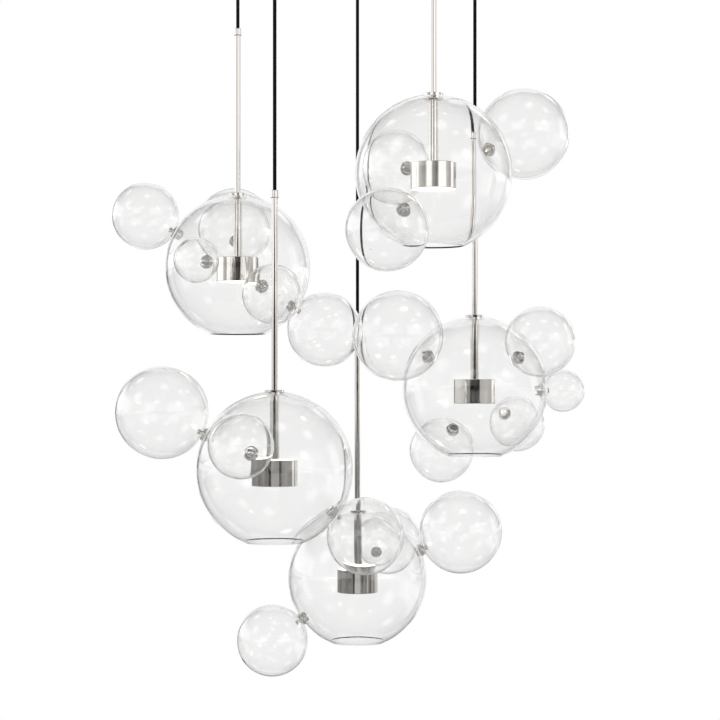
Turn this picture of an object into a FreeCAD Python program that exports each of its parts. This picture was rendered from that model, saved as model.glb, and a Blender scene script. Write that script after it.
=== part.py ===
import FreeCAD, Part
import math
import os

# Cluster pendant light: five clear glass globes hang at five heights from one round
# ceiling canopy.  Each globe hangs on a black cord and a slender polished stem, has a
# round LED head at its centre, is open at the bottom, and carries three or five sealed
# glass bubbles on small turned fittings.
#
# Frame: +Z up, +X to the right and +Y to the back of the room as the lamp is looked at.
# The origin is the centre of the ceiling plate's back face, so everything hangs below.

V = FreeCAD.Vector
X_AXIS, Y_AXIS, Z_AXIS = V(1, 0, 0), V(0, 1, 0), V(0, 0, 1)

# ------------------------------------------------------------------ sizes, millimetres

# Ceiling canopy
canopy_diameter = 600.0
canopy_height = 45.0
canopy_wall = 1.5
canopy_edge_round = 6.0
plate_thickness = 2.5
plate_edge_gap = 0.4            # round the plate, inside the pan's side wall
fixing_circle = 400.0           # pitch circle of the ceiling screws
fixing_count = 4
fixing_hole_radius = 3.25
cable_entry_radius = 10.0

# Lugs that hold the pan, and their side screws
lug_count = 3
lug_first_angle = 54.0
lug_width = 24.0
lug_height = 16.0
lug_thickness = 5.0
screw_radius = 2.4
screw_head_radius = 4.6
screw_head_height = 2.6

# Driver and terminals, on the underside of the plate
driver_length = 230.0
driver_width = 60.0
driver_height = 28.0
driver_edge_round = 3.0
driver_foot_length = 16.0
driver_foot_thickness = 2.0
driver_offset = 78.0            # from the canopy's centre towards the front
terminal_length = 72.0
terminal_width = 22.0
terminal_height = 17.0
terminal_ways = 6
terminal_screw_radius = 2.6
terminal_offset = 42.0          # from the canopy's centre towards the back

# Swivel ball and socket, where each cord leaves the canopy
ball_radius = 9.0
socket_wall = 3.0
ball_flat_share = 0.70          # height of the ball's flat top, of its radius
swing_limit = 4.0               # degrees that the cord can lean in the ball
sleeve_lift = 0.9               # air between the ball's flat and the crimped sleeve

# Cord and its two crimped grips
cord_radius = 3.5
sleeve_wall = 2.6
sleeve_height = 8.0
cord_tail = 3.0                 # cord that stands above the upper sleeve
ferrule_radius = 7.0
ferrule_height = 15.0
ferrule_edge_round = 1.6
ferrule_grip_depth = 9.0

# Stem above the globe
stem_radius = 6.0
stem_wall = 1.0
stem_cap_thickness = 4.0
spigot_radius = 4.4
spigot_height = 4.0
wire_hole_radius = 2.2

# Clamp discs, one on each side of the globe's crown
disc_radius = 19.0
upper_disc_thickness = 3.0
lower_disc_thickness = 4.0
disc_edge_round = 0.7

# Tube inside the globe
tube_radius = 9.0
tube_wall = 1.5
nipple_length = 16.0            # threaded end that runs up into the stem
nipple_wall = 1.4
ring_lift = 22.0                # thin ring on the tube, above the lamp head
ring_height = 1.6
ring_stand = 0.7

# Glass globe
globe_radius = 150.0
globe_wall = 3.0
mouth_radius = 58.0

# Lamp head
head_radius = 44.0
head_height = 50.0
head_drop = 5.0                 # its middle below the globe's centre
head_wall = 4.0
head_edge_round = 0.8
web_thickness = 6.0             # plate across the middle that carries both LED boards
diffuser_thickness = 2.5
diffuser_recess = 0.8
diffuser_ledge = 1.8            # width of the step that carries each diffuser
board_radius = 36.0
board_thickness = 1.6
led_count = 12
led_side = 3.0
led_height = 0.9
led_circle_share = 0.68         # radius of the ring of LEDs, of the board's radius

# Bubbles and their fittings
bubble_wall = 1.4
bubble_gap = 5.0                # glass to glass, where a bubble stands off the globe
stud_radius = 3.0
cap_radius = 11.0
cap_height = 8.0
cap_edge_round = 1.5
spacer_radius = 12.0
boss_radius = 6.5
boss_length = 12.0
boss_edge_round = 1.5

# Named clearances
fit = 0.05                      # turned parts that fit inside each other
seat = 0.10                     # metal on glass, and the ball in its socket
loose = 0.30                    # free holes
past = 1.0                      # how far a drill or cutter runs on past a face

# Pendants, from the highest to the lowest.  They hang on one pitch circle, each 144
# degrees on from the one before, so that neighbours in height never hang side by side.
pitch_share = 0.43              # radius of that circle, of the canopy's diameter
first_angle = 306.0
angle_step = -144.0
highest_drop = 652.0            # ceiling to the centre of the highest globe
drop_steps = [159.0, 252.0, 155.0, 255.0]         # from each globe down to the next
stem_length = 367.0
stem_shortening = [0.0, 40.0, 0.0, 0.0, 0.0]      # the second stem is cut shorter

# Six sizes of blown bubble, outer radius
bubble_a = 90.0
bubble_b = 83.0
bubble_c = 76.0
bubble_d = 70.0
bubble_e = 60.0
bubble_f = 45.0

# Bubbles of each pendant: turn about the pendant from +X, rise above the horizontal,
# both in degrees at the globe's centre, and the size of bubble.  Two drillings
# are used: three holes at about 0, 73 and 207 degrees, and five at about 0, 82, 154,
# 197 and 246 degrees, each turned to suit its place in the cluster.
bubbles = [
    [(36.0, 22.5, bubble_a), (109.5, 10.5, bubble_c), (243.0, -32.0, bubble_c)],
    [(96.5, 26.0, bubble_b), (172.0, 29.0, bubble_d), (250.5, 0.5, bubble_f), (294.0, -18.0, bubble_e),
     (342.0, -34.5, bubble_c)],
    [(223.5, 25.5, bubble_a), (306.0, 24.5, bubble_d), (19.0, -1.0, bubble_f), (60.0, -20.5, bubble_e),
     (110.5, -36.0, bubble_d)],
    [(174.5, 26.5, bubble_a), (256.5, 14.0, bubble_e), (24.5, -35.0, bubble_c)],
    [(1.5, 24.0, bubble_a), (72.5, 16.0, bubble_c), (201.5, -33.0, bubble_c)],
]

# ------------------------------------------------------------------ sizes that follow

canopy_radius = canopy_diameter / 2
pitch_radius = pitch_share * canopy_diameter
drops = [highest_drop + sum(drop_steps[:k]) for k in range(len(drop_steps) + 1)]
stem_lengths = [stem_length - cut for cut in stem_shortening]
pan_inner_radius = canopy_radius - canopy_wall
plate_radius = pan_inner_radius - plate_edge_gap
plate_under = -plate_thickness
outlet_floor = -canopy_height                       # underside of the pan
ball_centre = outlet_floor + ball_radius            # the ball shows flush underneath
ball_flat = ball_radius * ball_flat_share
cord_swing_hole = cord_radius + fit + 2.0 * ball_radius * math.tan(math.radians(swing_limit))
sleeve_radius = cord_radius + sleeve_wall
sleeve_bottom = ball_flat + sleeve_lift             # above the ball's centre
cord_top = sleeve_bottom + sleeve_height + cord_tail
nipple_radius = stem_radius - stem_wall - fit
glass_inner = globe_radius - globe_wall
disc_top = globe_radius + upper_disc_thickness      # above the globe's centre
disc_under = glass_inner - lower_disc_thickness
head_middle = -head_drop
head_top = head_middle + head_height / 2
head_bottom = head_middle - head_height / 2
web_top = head_middle + web_thickness / 2
web_bottom = head_middle - web_thickness / 2


# ------------------------------------------------------------------ small makers

def rod(radius, low, high):
    """Upright round bar between two heights."""
    return Part.makeCylinder(radius, high - low, V(0, 0, low), Z_AXIS)


def turned(points):
    """Solid turned about Z from a closed outline of (radius, height) points."""
    outline = [V(r, 0, z) for r, z in points]
    face = Part.Face(Part.makePolygon(outline + [outline[0]]))
    return face.revolve(V(0, 0, 0), Z_AXIS, 360)


def block(length, width, low, high):
    """Upright block centred on Z."""
    return Part.makeBox(length, width, high - low, V(-length / 2, -width / 2, low))


def moved(shape, offset):
    copy = shape.copy()
    copy.translate(offset)
    return copy


def turned_about_z(shape, angle):
    copy = shape.copy()
    copy.rotate(V(0, 0, 0), Z_AXIS, angle)
    return copy


def circle_edges(shape, radius, height):
    """Full round edges of one radius at one height."""
    found = []
    for edge in shape.Edges:
        curve = edge.Curve
        if isinstance(curve, Part.Circle) and abs(curve.Radius - radius) < 1e-4:
            if abs(curve.Center.z - height) < 1e-4 and abs(curve.Axis.z) > 0.999:
                found.append(edge)
    return found


def eased(shape, radius, height, size):
    """Shape with the round edge at that radius and height softened."""
    return shape.makeFillet(size, circle_edges(shape, radius, height))


def save(name, shape):
    shape.exportStep("parts/" + name + ".step")
    print(name, "solids", len(shape.Solids), "volume", round(shape.Volume, 1))


def group(solids):
    """Separate solids of one node, kept apart."""
    whole = []
    for item in solids:
        whole.extend(item.Solids)
    return Part.Compound(whole)


# ------------------------------------------------------------------ ceiling canopy

def outlet_points():
    """Centre of each pendant on the canopy, from the highest pendant to the lowest."""
    places = []
    for number in range(len(drops)):
        angle = math.radians(first_angle + angle_step * number)
        places.append(V(pitch_radius * math.cos(angle), pitch_radius * math.sin(angle), 0))
    return places


def lug_angles():
    return [lug_first_angle + 360.0 / lug_count * k for k in range(lug_count)]


lug_middle_height = plate_under - lug_height / 2
lug_outer = plate_radius
lug_inner = plate_radius - lug_thickness


def make_ceiling_plate():
    plate = rod(plate_radius, plate_under, 0)
    for angle in lug_angles():
        lug = Part.makeBox(lug_thickness, lug_width, lug_height + plate_thickness / 2,
                           V(lug_inner, -lug_width / 2, plate_under - lug_height))
        lug = lug.common(rod(plate_radius, plate_under - lug_height, 0))
        hole = Part.makeCylinder(screw_radius + fit, 4 * lug_thickness,
                                 V(lug_inner - lug_thickness, 0, lug_middle_height), X_AXIS)
        plate = plate.fuse(turned_about_z(lug.cut(hole), angle))
    plate = plate.removeSplitter()
    plate = plate.cut(rod(cable_entry_radius, 2 * plate_under, -plate_under))
    for k in range(fixing_count):
        angle = math.radians(45.0 + 360.0 / fixing_count * k)
        centre = V(fixing_circle / 2 * math.cos(angle), fixing_circle / 2 * math.sin(angle), 0)
        plate = plate.cut(moved(rod(fixing_hole_radius, 2 * plate_under, -plate_under), centre))
    return plate


def make_socket():
    """Thick seat for one swivel ball, standing on the pan's floor."""
    seat_radius = ball_radius + seat
    return rod(seat_radius + socket_wall, outlet_floor + canopy_wall / 2,
               ball_centre + socket_wall / 3)


def make_socket_space():
    """Space for one swivel ball: open above, and down through the pan for the cord."""
    seat_radius = ball_radius + seat
    ball_room = Part.makeSphere(seat_radius, V(0, 0, ball_centre))
    top_room = rod(seat_radius, ball_centre, ball_centre + 2 * ball_radius)
    under = rod(cord_swing_hole, outlet_floor - ball_radius, ball_centre)
    return ball_room.fuse(top_room).fuse(under)


def make_canopy_pan():
    outline = [
        (0, outlet_floor), (canopy_radius, outlet_floor), (canopy_radius, 0),
        (pan_inner_radius, 0), (pan_inner_radius, outlet_floor + canopy_wall),
        (0, outlet_floor + canopy_wall)]
    pan = turned(outline)
    pan = eased(pan, canopy_radius, outlet_floor, canopy_edge_round)
    inner_round = max(canopy_edge_round - canopy_wall, 0.2 * canopy_wall)
    pan = eased(pan, pan_inner_radius, outlet_floor + canopy_wall, inner_round)
    for place in outlet_points():
        pan = pan.fuse(moved(make_socket(), place))
    for place in outlet_points():
        pan = pan.cut(moved(make_socket_space(), place))
    for angle in lug_angles():
        hole = Part.makeCylinder(screw_radius + loose, 4 * canopy_wall,
                                 V(canopy_radius - 2 * canopy_wall, 0, lug_middle_height), X_AXIS)
        pan = pan.cut(turned_about_z(hole, angle))
    return pan


def make_canopy_screws():
    """Dome-headed side screws, through the pan into the plate's lugs."""
    length = canopy_radius - lug_inner
    screws = []
    for angle in lug_angles():
        screw = turned([(0, -length), (screw_radius, -length), (screw_radius, 0.02),
                        (screw_head_radius, 0.02), (screw_head_radius, 0.45 * screw_head_height),
                        (0.62 * screw_head_radius, screw_head_height), (0, screw_head_height)])
        slot = block(1.9 * screw_head_radius, 1.0, 0.6 * screw_head_height, 2 * screw_head_height)
        screw = screw.cut(slot)
        screw.rotate(V(0, 0, 0), Y_AXIS, 90)
        screw.translate(V(canopy_radius, 0, lug_middle_height))
        screws.append(turned_about_z(screw, angle))
    return group(screws)


def make_led_driver():
    """Flat driver case with a screw foot at each end."""
    low = plate_under - driver_height
    case = block(driver_length, driver_width, low, plate_under)
    corners = [e for e in case.Edges if abs(e.tangentAt(e.FirstParameter).x) > 0.999
               and e.BoundBox.ZMax < plate_under - 1e-6]
    case = case.makeFillet(driver_edge_round, corners)
    foot_low = plate_under - driver_foot_thickness
    feet = block(driver_length + 2 * driver_foot_length, driver_width, foot_low, plate_under)
    driver = case.fuse(feet)
    for side in (-1, 1):
        place = V(side * (driver_length + driver_foot_length) / 2, 0, 0)
        hole = rod(driver_foot_length / 7, foot_low - past, plate_under + past)
        driver = driver.cut(moved(hole, place))
    return moved(driver.removeSplitter(), V(0, -driver_offset, 0))


def make_terminal_block():
    """Screw terminals for the supply: one clamp screw and one wire hole for each way."""
    low = plate_under - terminal_height
    body = block(terminal_length, terminal_width, low, plate_under)
    pitch = terminal_length / terminal_ways
    for k in range(terminal_ways):
        x = (k + 0.5) * pitch - terminal_length / 2
        screw_well = rod(terminal_screw_radius, low - past, low + 0.4 * terminal_height)
        body = body.cut(moved(screw_well, V(x, 0, 0)))
        wire_hole = Part.makeCylinder(0.8 * terminal_screw_radius, 2 * terminal_width,
                                      V(x, -terminal_width, low + 0.62 * terminal_height), Y_AXIS)
        body = body.cut(wire_hole)
    return moved(body, V(0, terminal_offset, 0))


# ------------------------------------------------------------------ cord and stem

def make_swivel_ball():
    """Ball with a flat top and a waisted bore, in which the cord can lean."""
    ball = Part.makeSphere(ball_radius)
    ball = ball.cut(rod(2 * ball_radius, ball_flat, 2 * ball_radius))
    waist = cord_radius + 2 * fit
    flare = waist + 1.5 * ball_radius * math.tan(math.radians(swing_limit))
    bore = turned([(0, -ball_radius), (flare, -ball_radius), (waist, 0), (flare, ball_radius),
                   (0, ball_radius)])
    return moved(ball.cut(bore), V(0, 0, ball_centre))


def stem_top_of(number):
    """Height of the stem's top face, under the ferrule."""
    return -drops[number] + disc_top + stem_lengths[number]


def make_cord(number):
    """Taut cord from inside the canopy to the floor of the ferrule's bore."""
    bottom = stem_top_of(number) + seat + ferrule_height - ferrule_grip_depth
    return rod(cord_radius, bottom, ball_centre + cord_top)


def make_cord_grips(number):
    """Crimped sleeve above the ball, and the ferrule that carries the stem."""
    sleeve = rod(sleeve_radius, sleeve_bottom, sleeve_bottom + sleeve_height)
    sleeve = sleeve.cut(rod(cord_radius + fit, 0, 2 * cord_top))
    sleeve = moved(sleeve, V(0, 0, ball_centre))
    low = stem_top_of(number) + seat
    high = low + ferrule_height
    ferrule = rod(ferrule_radius, low, high)
    ferrule = eased(ferrule, ferrule_radius, high, ferrule_edge_round)
    ferrule = ferrule.cut(rod(cord_radius + fit, high - ferrule_grip_depth, high + past))
    ferrule = ferrule.cut(rod(spigot_radius + fit, low - past, low + spigot_height))
    ferrule = ferrule.cut(rod(wire_hole_radius, low, high))
    return group([sleeve, ferrule])


def make_stem(number):
    """Stem tube with its swivel spigot on top and the upper clamp disc brazed on below."""
    centre = -drops[number]
    low = centre + disc_top
    high = stem_top_of(number)
    tube = rod(stem_radius, low - upper_disc_thickness / 2, high)
    tube = tube.fuse(rod(spigot_radius, high - stem_cap_thickness / 2, high + spigot_height - seat))
    disc = rod(disc_radius, centre + globe_radius - disc_radius / 4, low)
    disc = eased(disc, disc_radius, low, disc_edge_round)
    disc = disc.cut(Part.makeSphere(globe_radius + seat, V(0, 0, centre)))
    stem = tube.fuse(disc).removeSplitter()
    stem = stem.cut(rod(stem_radius - stem_wall, centre, high - stem_cap_thickness))
    return stem.cut(rod(wire_hole_radius, centre, high + 2 * spigot_height))


def make_drop_tube():
    """Tube inside the globe, about the globe's centre: its threaded end passes the crown,
    its collar is the lower clamp disc, and its foot screws into the lamp head's web."""
    nipple_top = disc_top - upper_disc_thickness + nipple_length
    collar = rod(disc_radius, disc_under, glass_inner)
    collar = eased(collar, disc_radius, disc_under, disc_edge_round)
    collar = collar.common(Part.makeSphere(glass_inner - seat))
    tube = rod(tube_radius, web_top, disc_under + lower_disc_thickness / 2)
    ring_low = head_top + ring_lift
    ring = rod(tube_radius + ring_stand, ring_low, ring_low + ring_height)
    foot = rod(nipple_radius, web_bottom + web_thickness / 8, web_top + tube_wall)
    nipple = rod(nipple_radius, disc_under, nipple_top)
    whole = collar.fuse(tube).fuse(ring).fuse(foot).fuse(nipple).removeSplitter()
    wires = rod(nipple_radius - nipple_wall, web_bottom, nipple_top + past)
    room = rod(tube_radius - tube_wall, web_top + 2 * tube_wall, disc_under - tube_wall)
    return whole.cut(wires).cut(room)


# ------------------------------------------------------------------ glass

def on_sphere(radius, angle):
    """Point of a sphere's outline, with the angle from the upright axis in degrees."""
    a = math.radians(angle)
    return V(radius * math.sin(a), 0, radius * math.cos(a))


def make_globe(number):
    """Blown globe: a crown hole for the clamp, an open mouth with a fire-polished lip, and
    a drilled hole for each bubble."""
    crown = math.degrees(math.asin((nipple_radius + loose) / globe_radius))
    mouth = 180.0 - math.degrees(math.asin(mouth_radius / globe_radius))
    middle = (crown + mouth) / 2
    lip = globe_wall / 2
    lip_turn = math.degrees(lip / (globe_radius - lip))
    outer = Part.Arc(on_sphere(globe_radius, crown), on_sphere(globe_radius, middle),
                     on_sphere(globe_radius, mouth)).toShape()
    edge = Part.Arc(on_sphere(globe_radius, mouth),
                    on_sphere(globe_radius - lip, mouth + lip_turn),
                    on_sphere(glass_inner, mouth)).toShape()
    inner = Part.Arc(on_sphere(glass_inner, mouth), on_sphere(glass_inner, middle),
                     on_sphere(glass_inner, crown)).toShape()
    rim = Part.LineSegment(on_sphere(glass_inner, crown), on_sphere(globe_radius, crown)).toShape()
    globe = Part.Face(Part.Wire([outer, edge, inner, rim])).revolve(V(0, 0, 0), Z_AXIS, 360)
    for turn, rise, radius in bubbles[number]:
        hole = rod(stud_radius + loose, glass_inner - 2 * globe_wall, globe_radius + 2 * globe_wall)
        globe = globe.cut(aimed(hole, turn, rise))
    return globe


def aimed(shape, turn, rise):
    """Shape made along +Z from the globe's centre, swung to a bubble's direction."""
    copy = shape.copy()
    copy.rotate(V(0, 0, 0), Y_AXIS, 90.0 - rise)
    copy.rotate(V(0, 0, 0), Z_AXIS, turn)
    return copy


def bubble_centre(radius):
    return globe_radius + bubble_gap + radius


def make_bubble(radius):
    """Thin glass ball with one small hole, which its fitting closes."""
    centre = V(0, 0, bubble_centre(radius))
    ball = Part.makeSphere(radius, centre)
    ball = ball.cut(Part.makeSphere(radius - bubble_wall, centre))
    near = globe_radius + bubble_gap
    return ball.cut(rod(boss_radius + loose, near - radius / 2, near + radius / 2))


def make_fitting(radius):
    """Turned fitting: stud through the globe, spacer between the glasses, and a boss that
    plugs the bubble's hole.  The cap nut inside the globe is a second solid."""
    near = globe_radius + bubble_gap
    stud_low = glass_inner - seat - 0.75 * cap_height
    stud = rod(stud_radius, stud_low, globe_radius + bubble_gap / 2)
    spacer = rod(spacer_radius, globe_radius - bubble_gap / 2, near + bubble_gap)
    spacer = spacer.cut(Part.makeSphere(globe_radius + seat))
    spacer = spacer.cut(Part.makeSphere(radius + seat, V(0, 0, bubble_centre(radius))))
    boss = rod(boss_radius, near - bubble_gap / 4, near + boss_length)
    boss = eased(boss, boss_radius, near + boss_length, boss_edge_round)
    fitting = spacer.fuse(boss).fuse(stud)
    cap_low = glass_inner - seat - cap_height
    cap = rod(cap_radius, cap_low, glass_inner)
    cap = eased(cap, cap_radius, cap_low, cap_edge_round)
    cap = cap.common(Part.makeSphere(glass_inner - seat))
    cap = cap.cut(rod(stud_radius + fit, stud_low - fit, glass_inner + past))
    return fitting.removeSplitter(), cap


def make_bubbles(number):
    return group([aimed(make_bubble(radius), turn, rise) for turn, rise, radius in bubbles[number]])


def make_bubble_fittings(number):
    pieces = []
    for turn, rise, radius in bubbles[number]:
        fitting, cap = make_fitting(radius)
        pieces.append(aimed(fitting, turn, rise))
        pieces.append(aimed(cap, turn, rise))
    return group(pieces)


# ------------------------------------------------------------------ lamp head

def make_lamp_head():
    """Open drum with a plate across its middle and a step near each end."""
    inside = head_radius - head_wall
    mouth = inside + diffuser_ledge
    step = diffuser_thickness + diffuser_recess
    drum = rod(head_radius, head_bottom, head_top)
    drum = eased(drum, head_radius, head_top, head_edge_round)
    drum = eased(drum, head_radius, head_bottom, head_edge_round)
    drum = drum.cut(rod(inside, web_top, head_top + past))
    drum = drum.cut(rod(inside, head_bottom - past, web_bottom))
    drum = drum.cut(rod(mouth, head_top - step, head_top + past))
    drum = drum.cut(rod(mouth, head_bottom - past, head_bottom + step))
    return drum.cut(rod(nipple_radius + fit, web_bottom - past, web_top + past))


def make_diffusers():
    """Opal ring round the tube on top, and opal disc underneath."""
    radius = head_radius - head_wall + diffuser_ledge - seat
    top = head_top - diffuser_recess
    bottom = head_bottom + diffuser_recess
    ring = rod(radius, top - diffuser_thickness, top)
    ring = ring.cut(rod(tube_radius + loose, head_bottom, head_top))
    disc = rod(radius, bottom, bottom + diffuser_thickness)
    return group([ring, disc])


def make_led_boards():
    """Round LED boards on both sides of the web, each with its ring of LEDs."""
    circle = board_radius * led_circle_share
    upper = rod(board_radius, web_top, web_top + board_thickness)
    lower = rod(board_radius, web_bottom - board_thickness, web_bottom)
    upper = upper.cut(rod(tube_radius + loose, web_bottom, head_top))
    for k in range(led_count):
        angle = 360.0 / led_count * k
        led = block(led_side, led_side, web_top + board_thickness / 2,
                    web_top + board_thickness + led_height)
        led.translate(V(circle, 0, 0))
        upper = upper.fuse(turned_about_z(led, angle))
        led = block(led_side, led_side, web_bottom - board_thickness - led_height,
                    web_bottom - board_thickness / 2)
        led.translate(V(circle, 0, 0))
        lower = lower.fuse(turned_about_z(led, angle))
    lower = lower.cut(rod(wire_hole_radius, head_bottom, web_top))
    return group([upper, lower])


# ------------------------------------------------------------------ the whole lamp

save("ceiling_plate", make_ceiling_plate())
save("canopy_pan", make_canopy_pan())
save("canopy_screws", make_canopy_screws())
save("led_driver", make_led_driver())
save("terminal_block", make_terminal_block())

swivel_ball = make_swivel_ball()
drop_tube = make_drop_tube()
lamp_head = make_lamp_head()
led_boards = make_led_boards()
diffusers = make_diffusers()

for number, place in enumerate(outlet_points()):
    tag = "_" + str(number + 1)
    centre = V(place.x, place.y, -drops[number])
    save("swivel_ball" + tag, moved(swivel_ball, place))
    save("cord" + tag, moved(make_cord(number), place))
    save("cord_grips" + tag, moved(make_cord_grips(number), place))
    save("stem" + tag, moved(make_stem(number), place))
    save("drop_tube" + tag, moved(drop_tube, centre))
    save("globe" + tag, moved(make_globe(number), centre))
    save("lamp_head" + tag, moved(lamp_head, centre))
    save("led_boards" + tag, moved(led_boards, centre))
    save("diffusers" + tag, moved(diffusers, centre))
    save("bubble_fittings" + tag, moved(make_bubble_fittings(number), centre))
    save("bubbles" + tag, moved(make_bubbles(number), centre))
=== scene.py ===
# %% [markdown]
# # A cluster of five blown glass pendants
#
# Five clear globes hang on black cords from one round canopy, each at its own
# height. Small sealed bubbles stand on the outside of every globe, and inside it a
# polished drum holds an LED board that looks up and one that looks down. The metal,
# glass and fittings come from the CAD model with their true sizes, so this lesson is
# about light, glass, polished metal and the small things that a drawing leaves out.

# %% Load the packed model as a fixed frame
import math

import bmesh
import bpy
from mathutils import Matrix, Vector


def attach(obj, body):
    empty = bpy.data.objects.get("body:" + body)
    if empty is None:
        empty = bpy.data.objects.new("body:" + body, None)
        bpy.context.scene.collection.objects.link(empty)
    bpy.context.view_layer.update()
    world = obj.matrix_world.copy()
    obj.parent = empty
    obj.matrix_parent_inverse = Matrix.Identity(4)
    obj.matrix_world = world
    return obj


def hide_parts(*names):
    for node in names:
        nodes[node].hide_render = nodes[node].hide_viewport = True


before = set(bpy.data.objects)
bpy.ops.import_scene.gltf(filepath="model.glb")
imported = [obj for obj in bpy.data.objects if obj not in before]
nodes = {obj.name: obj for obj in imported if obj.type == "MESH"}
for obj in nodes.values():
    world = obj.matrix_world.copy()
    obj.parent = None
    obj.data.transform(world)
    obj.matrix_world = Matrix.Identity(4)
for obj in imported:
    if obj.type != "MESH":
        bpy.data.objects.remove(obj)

scene = bpy.context.scene
scene.view_settings.view_transform = "Standard"
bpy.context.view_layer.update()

# %% [markdown]
# ## Where the pendants hang
#
# The five cords leave the canopy on one circle, 144 degrees apart in order of height,
# so that neighbours in height hang on opposite sides. These numbers are the drawing's
# own. Everything that is added below is placed from them, never by eye.

# %% Sizes from the drawing, in metres
PENDANTS = (1, 2, 3, 4, 5)
PITCH_RADIUS = 0.258
FIRST_ANGLE, ANGLE_STEP = 306.0, -144.0
GLOBE_DROP = (0.652, 0.811, 1.063, 1.218, 1.473)
STEM_LENGTH = (0.367, 0.327, 0.367, 0.367, 0.367)
DISC_TOP = 0.153                 # top of the upper clamp disc above a globe's centre
CORD_DIAMETER = 0.007


def hanging_point(number):
    """Where the axis of a pendant crosses the ceiling."""
    turn = math.radians(FIRST_ANGLE + ANGLE_STEP * (number - 1))
    return Vector((PITCH_RADIUS * math.cos(turn), PITCH_RADIUS * math.sin(turn), 0))


def globe_centre(number):
    return hanging_point(number) - Vector((0, 0, GLOBE_DROP[number - 1]))


def stem_top(number):
    """Height of the top of a stem, where its ferrule sits."""
    return DISC_TOP + STEM_LENGTH[number - 1] - GLOBE_DROP[number - 1]


for number in PENDANTS:
    print("pendant", number, "globe at", [round(v, 4) for v in globe_centre(number)],
          "stem top at", round(stem_top(number), 4))

# %% [markdown]
# ## The camera
#
# The photograph was taken level, with the horizon a little below the middle of the
# picture, from far enough away that near and far globes look almost the same size.
# A 90 mm lens at 3.65 m does that. The level view is kept by shifting the lens up
# instead of tilting the camera, so the stems stay upright. The camera stands a little
# to the right of the middle and is turned back by less than a degree.

# %% Camera
lens = bpy.data.cameras.new("camera")
lens.lens = 90.0
lens.sensor_width = 36.0
lens.shift_y = 30 / 720
camera = bpy.data.objects.new("camera", lens)
camera.location = (0.0548, -3.646, -1.0650)
camera.rotation_euler = (math.radians(90), 0, math.radians(0.724))
scene.collection.objects.link(camera)
scene.camera = camera
print("camera at", tuple(camera.location))

# %% [markdown]
# ## A small language for shader maths
#
# Node graphs soon grow hard to read in code. One class wraps an output socket, so
# that `mask * 0.5 + 0.2` adds the two Math nodes by itself, and one method adds any
# other kind of node from its settings and the values or links of its inputs.


# %% Wires
class Wire:
    """An output socket that can be used in sums."""

    def __init__(self, socket):
        self.socket = socket

    @staticmethod
    def node(tree, kind, settings=(), inputs=(), out=0):
        """Adds a node. Settings come first, because they decide which inputs it has."""
        made = tree.nodes.new(kind)
        for name, value in dict(settings).items():
            if name == "stops":
                ramp = made.color_ramp.elements
                while len(ramp) < len(value):
                    ramp.new(0.5)
                for stop, (place, colour) in zip(ramp, value):
                    stop.position = place
                    stop.color = colour if len(colour) == 4 else (*colour, 1)
            else:
                setattr(made, name, value)
        for name, value in dict(inputs).items():
            if isinstance(value, Wire):
                tree.links.new(value.socket, made.inputs[name])
            else:
                made.inputs[name].default_value = value
        return Wire(made.outputs[out]) if len(made.outputs) else None

    def math(self, operation, *others, swap=False):
        terms = [self, *others][::-1] if swap else [self, *others]
        return Wire.node(self.socket.id_data, "ShaderNodeMath",
                         {"operation": operation}, dict(enumerate(terms)))

    def __add__(self, other): return self.math("ADD", other)
    def __radd__(self, other): return self.math("ADD", other)
    def __sub__(self, other): return self.math("SUBTRACT", other)
    def __rsub__(self, other): return self.math("SUBTRACT", other, swap=True)
    def __mul__(self, other): return self.math("MULTIPLY", other)
    def __rmul__(self, other): return self.math("MULTIPLY", other)
    def __truediv__(self, other): return self.math("DIVIDE", other)
    def __rtruediv__(self, other): return self.math("DIVIDE", other, swap=True)
    def __pow__(self, other): return self.math("POWER", other)
    def __abs__(self): return self.math("ABSOLUTE")

    def ease(self, low, high):
        """0 below low, 1 above high, and a smooth climb between them."""
        return Wire.node(self.socket.id_data, "ShaderNodeMapRange",
                         {"interpolation_type": "SMOOTHSTEP"},
                         {"Value": self, "From Min": low, "From Max": high})


print("operators:", [name for name in vars(Wire) if name.startswith("__")][3:])

# %% [markdown]
# ## The studio
#
# Polished metal and clear glass have almost no colour of their own: what we see is
# the room. A product photographer hangs white boxes and black cards around them.
# Here the world does it. The camera, and light that only passes through glass, see
# plain white. Once a ray has been reflected it sees the studio instead: five bands of
# white boxes, grey walls and black cards, one above another, with a bright wall behind
# the lamp, and a mottled floor and ceiling with a few round lamps. The bands draw the
# upright stripes on the drums and stems. Is Glossy Ray alone would miss the drums,
# because their reflections leave through the globe, so the count of reflections is
# read instead. Glass behind glass would turn too grey, so light that has passed more
# than one globe comes back a little brighter. The soft light on everything else is
# one plain level from all round.

# %% The world
world = bpy.data.worlds.new("studio")
world.use_nodes = True
scene.world = world
air = world.node_tree
air.nodes.clear()
direction = Wire.node(air, "ShaderNodeTexCoord", out="Generated")
apart = Wire.node(air, "ShaderNodeSeparateXYZ", (), {0: direction}).socket.node
east, north, up = (Wire(apart.outputs[axis]) for axis in "XYZ")
azimuth = east.math("ARCTAN2", 0 - north) * (180 / math.pi)   # 0 is behind the camera
elevation = up.math("ARCSINE") * (180 / math.pi)
WHITE_BOX = 1.5                   # the boxes are brighter than the white backdrop
BAND_BLUR = 0.5                   # degrees above and below the line between two bands
LAMP_LEVEL = 1.5
WALL_BEHIND = 0.95
SOFT_LEVEL = 0.85                 # what matt surfaces see all round
GLOBE_SURFACES = 4                # surfaces that a ray passes in one hollow globe
GIVEN_BACK, MOST_GIVEN = 0.03, 10.0   # share for each surface past those, and how many count


def band(*boards):
    """Levels round the horizon, from (azimuth, level) pairs, as shares of a white box."""
    stops = [((turn + 180) / 360, (level / WHITE_BOX,) * 3) for turn, level in boards]
    return Wire.node(air, "ShaderNodeValToRGB", {"stops": stops}, {"Fac": azimuth / 360 + 0.5})


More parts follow.
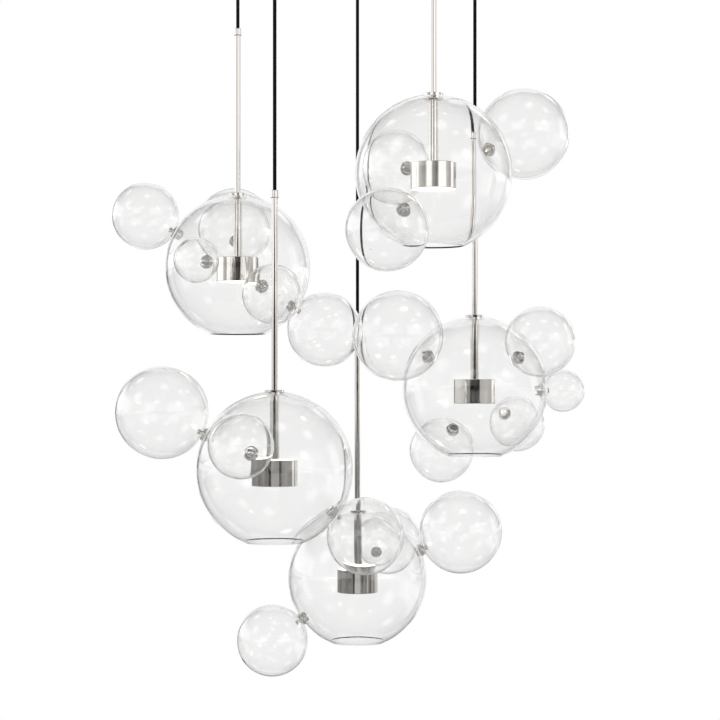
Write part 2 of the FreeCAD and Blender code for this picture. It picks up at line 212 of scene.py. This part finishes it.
def lamp(turn, rise, half_width, soft=4.0):
    """A mask over the sky: 1 on a round lamp, 0 off it."""
    turn, rise = math.radians(turn), math.radians(rise)
    aim = (math.sin(turn) * math.cos(rise), -math.cos(turn) * math.cos(rise), math.sin(rise))
    near = Wire.node(air, "ShaderNodeVectorMath", {"operation": "DOT_PRODUCT"},
                     {0: direction, 1: aim}, "Value")
    outside, inside = (math.cos(math.radians(half_width + side * soft)) for side in (1, -1))
    return near.ease(outside, inside)


def noise(place, scale=5.0, detail=2.0):
    """Soft blotches from 0 to 1 over the sky."""
    return Wire.node(air, "ShaderNodeTexNoise", (), {"Vector": place, "Scale": scale, "Detail": detail})


BANDS = (                         # lowest elevation of each band, in degrees, and its boards
    (-90.0, band((-180, 0.5), (-158, 0.4), (-152, 0.01), (-143, 0.35), (-110, 0.16), (-90, 0.3),
                 (-60, 0.15), (-26, 0.22), (-23, 0.0), (-16, 0.0), (-13, 0.6), (14, 0.55), (20, 0.2),
                 (32, 0.05), (38, 0.3), (52, 0.16), (60, 0.6), (68, 0.2), (86, 0.1), (92, 0.7),
                 (99, 0.15), (112, 0.4), (130, 0.7), (180, 0.6))),
    (-4.3, band((-180, 0.4), (-150, 0.3), (-130, 0.22), (-96, 0.3), (-80, 0.16), (-55, 0.24),
                (-40, 0.14), (-28, 0.2), (-25, 0.0), (-15, 0.0), (-12, 0.42), (24, 0.4), (26, 0.0),
                (36, 0.0), (39, 0.28), (62, 0.34), (88, 0.26), (100, 0.3), (104, 1.1), (111, 1.1),
                (118, 0.3), (132, 0.8), (150, 0.9), (180, 0.8))),
    (-1.5, band((-180, 0.7), (-160, 0.7), (-154, 0.02), (-146, 0.02), (-141, 0.85), (-56, 0.8),
                (-52, 1.4), (-48, 0.36), (-31, 0.3), (-28, 0.0), (22, 0.0), (25, 0.55), (62, 0.66),
                (99, 0.5), (102, 1.5), (128, 1.4), (134, 0.5), (140, 1.4), (180, 0.9))),
    (2.8, band((-180, 0.9), (-155, 0.9), (-152, 0.1), (-146, 0.1), (-142, 0.9), (-132, 1.5), (-85, 1.5),
               (-78, 0.6), (-62, 0.4), (-54, 1.4), (-27, 1.5), (-23, 0.0), (20, 0.0), (24, 1.4),
               (60, 1.5), (66, 0.7), (92, 0.45), (101, 1.5), (111, 1.5), (122, 0.5), (134, 0.6),
               (137, 0.1), (144, 0.1), (148, 0.9), (180, 0.9))),
    (5.3, band((-180, 0.9), (-154, 0.9), (-151, 0.2), (-145, 0.2), (-142, 1.4), (-135, 1.5), (-85, 1.5),
               (-78, 0.8), (-48, 0.35), (-40, 0.55), (-33, 1.5), (-12, 1.5), (-7, 0.5), (13, 0.2),
               (20, 0.3), (27, 1.5), (60, 1.5), (66, 0.75), (92, 0.42), (101, 1.5), (111, 1.5),
               (120, 0.55), (135, 0.7), (138, 0.2), (143, 0.2), (147, 1.4), (180, 0.9))),
)
walls = BANDS[0][1]
for lowest, boards in BANDS[1:]:
    walls = walls + (boards - walls) * elevation.ease(lowest - BAND_BLUR, lowest + BAND_BLUR)
along = Wire.node(air, "ShaderNodeCombineXYZ", (), {0: azimuth / 7.0})
walls = walls * WHITE_BOX * (0.8 + 0.4 * noise(along))
mottle = noise(direction, scale=2.4, detail=1.0).ease(0.40, 0.62)
ceiling, ground = elevation.ease(17, 30), 1 - elevation.ease(-28, -14)
walls = (walls * (1 - ceiling) * (1 - ground) + ceiling * (0.09 + 0.06 * mottle)
         + ground * (0.33 + 0.14 * mottle))
behind = abs(azimuth).ease(153, 162) * (1 - elevation.ease(50, 62)) * elevation.ease(-55, -45)
walls = walls * (1 - behind) + WALL_BEHIND * behind
lamps = (lamp(-66, 33, 8, 6) + lamp(-6, 27, 4) + lamp(50, 22, 5) + lamp(75, 46, 5)
         + lamp(150, 35, 5) + lamp(-120, 50, 5) + lamp(20, 68, 7))
reflected = walls + lamps * LAMP_LEVEL
path = Wire.node(air, "ShaderNodeLightPath").socket.node
seen, through, times, passed = (
    Wire(path.outputs[name]) for name in
    ("Is Camera Ray", "Is Transmission Ray", "Glossy Depth", "Transmission Depth"))
mirrored = times.math("MINIMUM", 1.0)
straight = (seen + through).math("MINIMUM", 1.0) * (1 - mirrored)
beyond = (passed - GLOBE_SURFACES).math("MAXIMUM", 0.0).math("MINIMUM", MOST_GIVEN)
level = (mirrored * reflected + straight * (1 + GIVEN_BACK * beyond)
         + (1 - mirrored) * (1 - straight) * SOFT_LEVEL)
backdrop = Wire.node(air, "ShaderNodeBackground", (), {"Color": (1, 1, 1, 1), "Strength": level})
Wire.node(air, "ShaderNodeOutputWorld", (), {"Surface": backdrop})
print("nodes in the studio:", len(air.nodes))

# %% [markdown]
# ## Polished nickel, blown glass and the rest
#
# The stems are drawn tube, plated and buffed, so very fine lines run along them and
# break up the reflections a little. Nickel is slightly warmer than chrome. Fine noise
# that is stretched along the tube gives both the roughness and a faint bump. The
# bubble fittings are the same metal in a lighter colour, a painted highlight that makes
# them shine brighter. Blown glass is never quite true: a slow wave and a trace of fine
# ripple bend what shines in it, and its rim, seen edge on, is darkened by painted shade
# in the glass colour. The diffusers glow warm white. The cord's sheath is nearly
# black and hardly shines.


# %% Materials
def finish(name, make):
    """A new material whose nodes are made by a function that returns the surface."""
    made = bpy.data.materials.new(name)
    made.use_nodes = True
    tree = made.node_tree
    tree.nodes.clear()
    Wire.node(tree, "ShaderNodeOutputMaterial", (), {"Surface": make(tree)})
    return made


def streaks(tree, across, along, detail=3.0):
    """Noise that is drawn out along the pendant's length."""
    place = Wire.node(tree, "ShaderNodeTexCoord", out="Object")
    drawn = Wire.node(tree, "ShaderNodeMapping", (), {"Vector": place, "Scale": (across, across, along)})
    return Wire.node(tree, "ShaderNodeTexNoise", (),
                     {"Vector": drawn, "Scale": 1.0, "Detail": detail}, "Fac")


def bumped(tree, height, distance):
    """A normal from a height that runs from 0 to 1 over a distance in metres."""
    return Wire.node(tree, "ShaderNodeBump", (),
                     {"Height": height, "Distance": distance, "Strength": 1.0})


def polished_nickel(tree, colour=(0.83, 0.80, 0.76, 1)):
    lines = streaks(tree, 420, 6)
    return Wire.node(tree, "ShaderNodeBsdfPrincipled", (), {
        "Base Color": colour, "Metallic": 1.0,
        "Roughness": 0.05 + lines * 0.07, "Normal": bumped(tree, lines, 0.00002)})


# The same nickel in a lighter colour: a painted highlight, so that the bubble fittings shine brighter
# than the stems.
def nickel_painted_brighter(tree):
    return polished_nickel(tree, (0.96, 0.94, 0.91, 1))


def clear_glass(tree):
    """Nearly colourless, with painted shade that darkens the glass colour where the wall is seen edge
    on.
    """
    painted_rim_shade = Wire.node(tree, "ShaderNodeLayerWeight", (), {"Blend": 0.5}, "Facing")
    # painted shade: the glass colour turns darker towards the rim that is seen edge on
    glass_tint_with_painted_rim_shade = Wire.node(tree, "ShaderNodeMix", {"data_type": "RGBA"},
                     {"Factor": painted_rim_shade ** 8, 6: (0.980, 0.980, 0.978, 1), 7: (0.88, 0.885, 0.88, 1)}, 2)
    place = Wire.node(tree, "ShaderNodeTexCoord", out="Object")
    slow, fine = (Wire.node(tree, "ShaderNodeTexNoise", (),
                            {"Vector": place, "Scale": scale, "Detail": 1.0}, "Fac")
                  for scale in (14.0, 65.0))
    ripple = slow + fine * 0.05
    return Wire.node(tree, "ShaderNodeBsdfPrincipled", (), {
        "Base Color": glass_tint_with_painted_rim_shade, "Roughness": 0.0, "IOR": 1.45, "Transmission Weight": 1.0,
        "Normal": bumped(tree, ripple, 0.0004)})


def opal_diffuser(tree):
    return Wire.node(tree, "ShaderNodeBsdfPrincipled", (), {
        "Base Color": (0.9, 0.88, 0.84, 1), "Roughness": 0.45,
        "Emission Color": (1.0, 0.90, 0.74, 1), "Emission Strength": 2.4})


def black_cord(tree):
    lines = streaks(tree, 900, 30)
    return Wire.node(tree, "ShaderNodeBsdfPrincipled", (), {
        "Base Color": (0.004, 0.004, 0.0045, 1), "Roughness": 0.55 + lines * 0.2,
        "Specular IOR Level": 0.15, "Normal": bumped(tree, lines, 0.00005)})


def zinc_steel(tree):
    flakes = streaks(tree, 120, 120)
    return Wire.node(tree, "ShaderNodeBsdfPrincipled", (), {
        "Base Color": (0.62, 0.63, 0.65, 1), "Metallic": 1.0, "Roughness": 0.25 + flakes * 0.25})


# Nearly black metal: painted shade for the thin dark line where the ferrule meets the stem.
def washer(tree):
    wear = streaks(tree, 900, 900)
    return Wire.node(tree, "ShaderNodeBsdfPrincipled", (), {
        "Base Color": (0.10, 0.095, 0.09, 1), "Metallic": 1.0, "Roughness": 0.3 + wear * 0.2})


def plastic(colour):
    def make(tree):
        grain = streaks(tree, 900, 900)
        return Wire.node(tree, "ShaderNodeBsdfPrincipled", (), {
            "Base Color": colour, "Roughness": 0.42 + grain * 0.1,
            "Normal": bumped(tree, grain, 0.00005)})
    return make


MAKERS = {                        # each finish, and the function that makes its nodes
    "polished_nickel": polished_nickel, "plated_aluminium": polished_nickel,
    "nickel_painted_brighter": nickel_painted_brighter, "zinc_steel": zinc_steel, "washer": washer,
    "black_cord": black_cord, "clear_glass": clear_glass, "opal_diffuser": opal_diffuser,
    "led_board": plastic((0.75, 0.76, 0.72, 1)), "driver_case": plastic((0.8, 0.8, 0.78, 1)),
    "terminal_plastic": plastic((0.85, 0.83, 0.76, 1)),
}
FINISHES = {name: finish(name, make) for name, make in MAKERS.items()}
KINDS = (                         # how a node's name starts, and its finish
    ("ceiling_plate", "zinc_steel"), ("canopy_", "polished_nickel"), ("led_driver", "driver_case"),
    ("terminal", "terminal_plastic"), ("swivel_ball", "polished_nickel"),
    ("cord_grips", "polished_nickel"), ("cord_", "black_cord"), ("stem_", "polished_nickel"),
    ("drop_tube", "polished_nickel"), ("globe_", "clear_glass"), ("lamp_head", "plated_aluminium"),
    ("led_boards", "led_board"), ("diffusers", "opal_diffuser"),
    ("bubble_fittings", "polished_nickel"), ("bubbles", "clear_glass"))
for name, node in nodes.items():
    chosen = next(slot for start, slot in KINDS if name.startswith(start))
    node.data.materials.clear()
    node.data.materials.append(FINISHES[chosen])
print({name: len(node.data.polygons) for name, node in nodes.items()})

# %% [markdown]
# ## The cords
#
# Each cord hangs straight under the weight of its pendant, so it is one upright
# line from the ball in the canopy to the ferrule on the stem.

# %% Cords
CORD_TOP = -0.01780               # upper end of every cord, above the sleeve on its ball
CORD_IN_FERRULE = 0.0061          # a cord's lower end stands this far above its stem
for number in PENDANTS:
    top, bottom = CORD_TOP, stem_top(number) + CORD_IN_FERRULE
    line = bpy.data.curves.new(f"pendant_cord_{number}", "CURVE")
    line.dimensions = "3D"
    line.bevel_depth = CORD_DIAMETER / 2
    line.bevel_resolution = 6
    line.use_fill_caps = True
    run = line.splines.new("NURBS")
    run.points.add(3)
    for point, share in zip(run.points, (0, 0.3, 0.7, 1)):
        place = hanging_point(number) + Vector((0, 0, top + (bottom - top) * share))
        point.co = (*place, 1)
    run.order_u = 3
    run.use_endpoint_u = True
    line.materials.append(FINISHES["black_cord"])
    cord = bpy.data.objects.new(f"pendant_cord_{number}", line)
    scene.collection.objects.link(cord)
    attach(cord, f"cord {number}")
    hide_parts(f"cord_{number}")
    print("cord", number, "length", round(top - bottom, 4))

# %% [markdown]
# ## The bubble fittings
#
# Each bubble stands on one turned fitting. A stud passes the hole in the globe into a
# cap nut, a stepped flange lies between the two glasses, and a boss plugs the bubble.
# Turned parts are made as a turner makes them: an outline of radius and height is spun
# round the axis, then its sharp rings get a fine bevel that catches the light. The
# flange is dished on both sides so that it follows the globe and the bubble, and its
# edge is two half-round beads, which gather the whole studio into thin rings.

# %% Turned pieces
GLOBE_RADIUS, GLOBE_WALL, BUBBLE_GAP = 0.150, 0.003, 0.005
SEAT = 0.0001                     # air between pieces that rest on each other
CAP = 0.0110                      # radius of the cap nuts
BUBBLES = {                       # turn, rise and radius of each bubble, as in the drawing
    1: ((36.0, 22.5, 0.090), (109.5, 10.5, 0.076), (243.0, -32.0, 0.076)),
    2: ((96.5, 26.0, 0.083), (172.0, 29.0, 0.070), (250.5, 0.5, 0.045), (294.0, -18.0, 0.060),
        (342.0, -34.5, 0.076)),
    3: ((223.5, 25.5, 0.090), (306.0, 24.5, 0.070), (19.0, -1.0, 0.045), (60.0, -20.5, 0.060),
        (110.5, -36.0, 0.070)),
    4: ((174.5, 26.5, 0.090), (256.5, 14.0, 0.060), (24.5, -35.0, 0.076)),
    5: ((1.5, 24.0, 0.090), (72.5, 16.0, 0.076), (201.5, -33.0, 0.076)),
}


def turned(outline, edge_round=0.00025, closed=False, steps=48):
    """Spins (radius, height) points into a solid: from axis to axis, or a closed ring."""
    piece = bmesh.new()
    points = [piece.verts.new((radius, 0, height)) for radius, height in outline]
    after = points[1:] + points[:1] if closed else points[1:]
    lines = [piece.edges.new(pair) for pair in zip(points, after)]
    bmesh.ops.spin(piece, geom=points + lines, cent=(0, 0, 0), axis=(0, 0, 1), dvec=(0, 0, 0),
                   angle=math.tau, steps=steps, use_merge=True, use_duplicate=False)
    bmesh.ops.remove_doubles(piece, verts=piece.verts, dist=1e-6)
    bmesh.ops.recalc_face_normals(piece, faces=piece.faces)
    sharp = [edge for edge in piece.edges if len(edge.link_faces) == 2
             and edge.calc_face_angle() > math.radians(25)]
    bmesh.ops.bevel(piece, geom=sharp, offset=edge_round, offset_type="OFFSET", segments=2,
                    profile=0.5, affect="EDGES", clamp_overlap=True, material=-1)
    return piece


def finished(name, pieces, material, smooth_below=35):
    """Joins bmeshes into one object at the origin, smooth except at its sharp edges."""
    mesh = bpy.data.meshes.new(name)
    whole = bmesh.new()
    for piece in pieces:
        part = bpy.data.meshes.new("part")
        piece.to_mesh(part)
        piece.free()
        whole.from_mesh(part)
        bpy.data.meshes.remove(part)
    for face in whole.faces:
        face.smooth = True
    whole.to_mesh(mesh)
    whole.free()
    mesh.set_sharp_from_angle(angle=math.radians(smooth_below))
    mesh.materials.append(FINISHES[material])
    made = bpy.data.objects.new(name, mesh)
    scene.collection.objects.link(made)
    return made


def on_globe(radius):
    """Height of the globe's outside at a distance from the fitting's axis."""
    return math.sqrt((GLOBE_RADIUS + SEAT) ** 2 - radius ** 2)


def on_bubble(radius, bubble):
    """Height of the bubble's near side at a distance from the fitting's axis."""
    return GLOBE_RADIUS + BUBBLE_GAP + bubble - math.sqrt((bubble + SEAT) ** 2 - radius ** 2)


def bead(radius, height, size, start, end, steps=6):
    """Points on a half-round bead, from one angle to another in degrees."""
    angles = (math.radians(start + (end - start) * step / steps) for step in range(steps + 1))
    return [(radius + size * math.cos(a), height + size * math.sin(a)) for a in angles]


STUD_FOOT, STUD = 0.1420, 0.0030  # height of the stud's inner end, and its radius
FLANGE, LOWER_BEAD = 0.0130, 0.0013
UPPER_FLANGE, UPPER_BEAD, UPPER_HEIGHT = 0.0121, 0.0011, 0.1541
WAIST = ((0.0121, 0.15214), (0.0114, 0.1523), (0.0113, 0.1529))
BOSS = (                          # radius, and height above the bubble's nearest point
    (0.0065, 0.0024), (0.0058, 0.0031), (0.0045, 0.0036), (0.0040, 0.0046), (0.0039, 0.0060),
    (0.0041, 0.0074), (0.0048, 0.0083), (0.0057, 0.0087), (0.0060, 0.0093), (0.0060, 0.0101),
    (0.0055, 0.0109), (0.0044, 0.0115), (0.0029, 0.0119), (0.0014, 0.0121), (0, 0.01215))


def fitting_outline(bubble):
    """Stud, a flange of two beads with a waist between them, and a boss with a domed tip."""
    near = GLOBE_RADIUS + BUBBLE_GAP
    return ([(0, STUD_FOOT), (STUD, STUD_FOOT)]
            + [(radius, on_globe(radius)) for radius in (STUD, 0.0085, FLANGE)]
            + bead(FLANGE, on_globe(FLANGE) + LOWER_BEAD, LOWER_BEAD, -75, 90)
            + list(WAIST)
            + bead(UPPER_FLANGE, UPPER_HEIGHT, UPPER_BEAD, -90, 75)
            + [(0.0118, 0.1553)]
            + [(radius, on_bubble(radius, bubble)) for radius in (0.0114, 0.0090, BOSS[0][0])]
            + [(radius, near + rise) for radius, rise in BOSS])


def cap_outline():
    """Cap nut inside the globe: a slightly dished face, a fine groove and a rounded edge."""
    inside = GLOBE_RADIUS - GLOBE_WALL - SEAT
    return [(0, 0.1392), (0.0080, 0.1392), (0.0084, 0.1389), (0.0098, 0.1389), (0.0106, 0.1393),
            (CAP, 0.1401), (CAP, 0.1437), (0.0106, 0.1440), (0.0106, 0.1444), (CAP, 0.1447),
            (CAP, math.sqrt(inside ** 2 - CAP ** 2)), (0, inside)]


for number in PENDANTS:
    pieces = []
    for turn, rise, bubble in BUBBLES[number]:
        aim = (Matrix.Translation(globe_centre(number)) @ Matrix.Rotation(math.radians(turn), 4, "Z")
               @ Matrix.Rotation(math.radians(90 - rise), 4, "Y"))
        for outline in (fitting_outline(bubble), cap_outline()):
            piece = turned(outline)
            bmesh.ops.transform(piece, matrix=aim, verts=piece.verts)
            pieces.append(piece)
    # the fittings take the lighter nickel, whose colour paints a highlight on them
    fittings = finished(f"turned_fittings_{number}", pieces, "nickel_painted_brighter")
    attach(fittings, f"pendant {number}")
    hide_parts(f"bubble_fittings_{number}")
    print("fittings", number, "faces", len(fittings.data.polygons))

# %% [markdown]
# ## The ring under each ferrule
#
# Where the ferrule meets the stem there is a thin dark line, a little wider than
# either. A washer on which the stem turns is put there, nearly black, as painted shade
# for that line. It is a flat ring with rounded edges, spun from a small closed outline
# like the turned pieces above.

# %% Swivel washers
WASHER_IN, WASHER_OUT, WASHER_THICK = 0.00705, 0.00770, 0.0009
for number in PENDANTS:
    foot = stem_top(number) + SEAT
    head = foot + WASHER_THICK
    ring = turned(((WASHER_IN, foot), (WASHER_OUT, foot), (WASHER_OUT, head), (WASHER_IN, head)),
                  edge_round=0.0002, closed=True)
    bmesh.ops.translate(ring, vec=hanging_point(number), verts=ring.verts)
    washer_ring = finished(f"swivel_washer_{number}", [ring], "washer")
    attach(washer_ring, f"cord {number}")
print("washer across", 2 * WASHER_OUT)

# %% [markdown]
# ## The floor
#
# The lamp hangs over a plain pale floor, well below the picture.

# %% Floor
FLOOR_HEIGHT, FLOOR_RADIUS = -2.75, 4.0
slab = bmesh.new()
bmesh.ops.create_circle(slab, cap_ends=True, segments=64, radius=FLOOR_RADIUS,
                        matrix=Matrix.Translation((0, 0, FLOOR_HEIGHT)))
floor_mesh = bpy.data.meshes.new("studio_floor")
slab.to_mesh(floor_mesh)
slab.free()


def pale_floor(tree):
    return Wire.node(tree, "ShaderNodeBsdfDiffuse", (), {"Color": (0.85, 0.85, 0.85, 1)})


floor_mesh.materials.append(finish("pale_floor", pale_floor))
floor = bpy.data.objects.new("studio_floor", floor_mesh)
scene.collection.objects.link(floor)

GLASS_BOUNCES, METAL_BOUNCES = 32, 12   # a ray can cross five globes and their bubbles
scene.cycles.max_bounces = GLASS_BOUNCES
scene.cycles.transmission_bounces = GLASS_BOUNCES
scene.cycles.glossy_bounces = METAL_BOUNCES
print("floor at", FLOOR_HEIGHT)

# %% [markdown]
# ## The size of the finished model
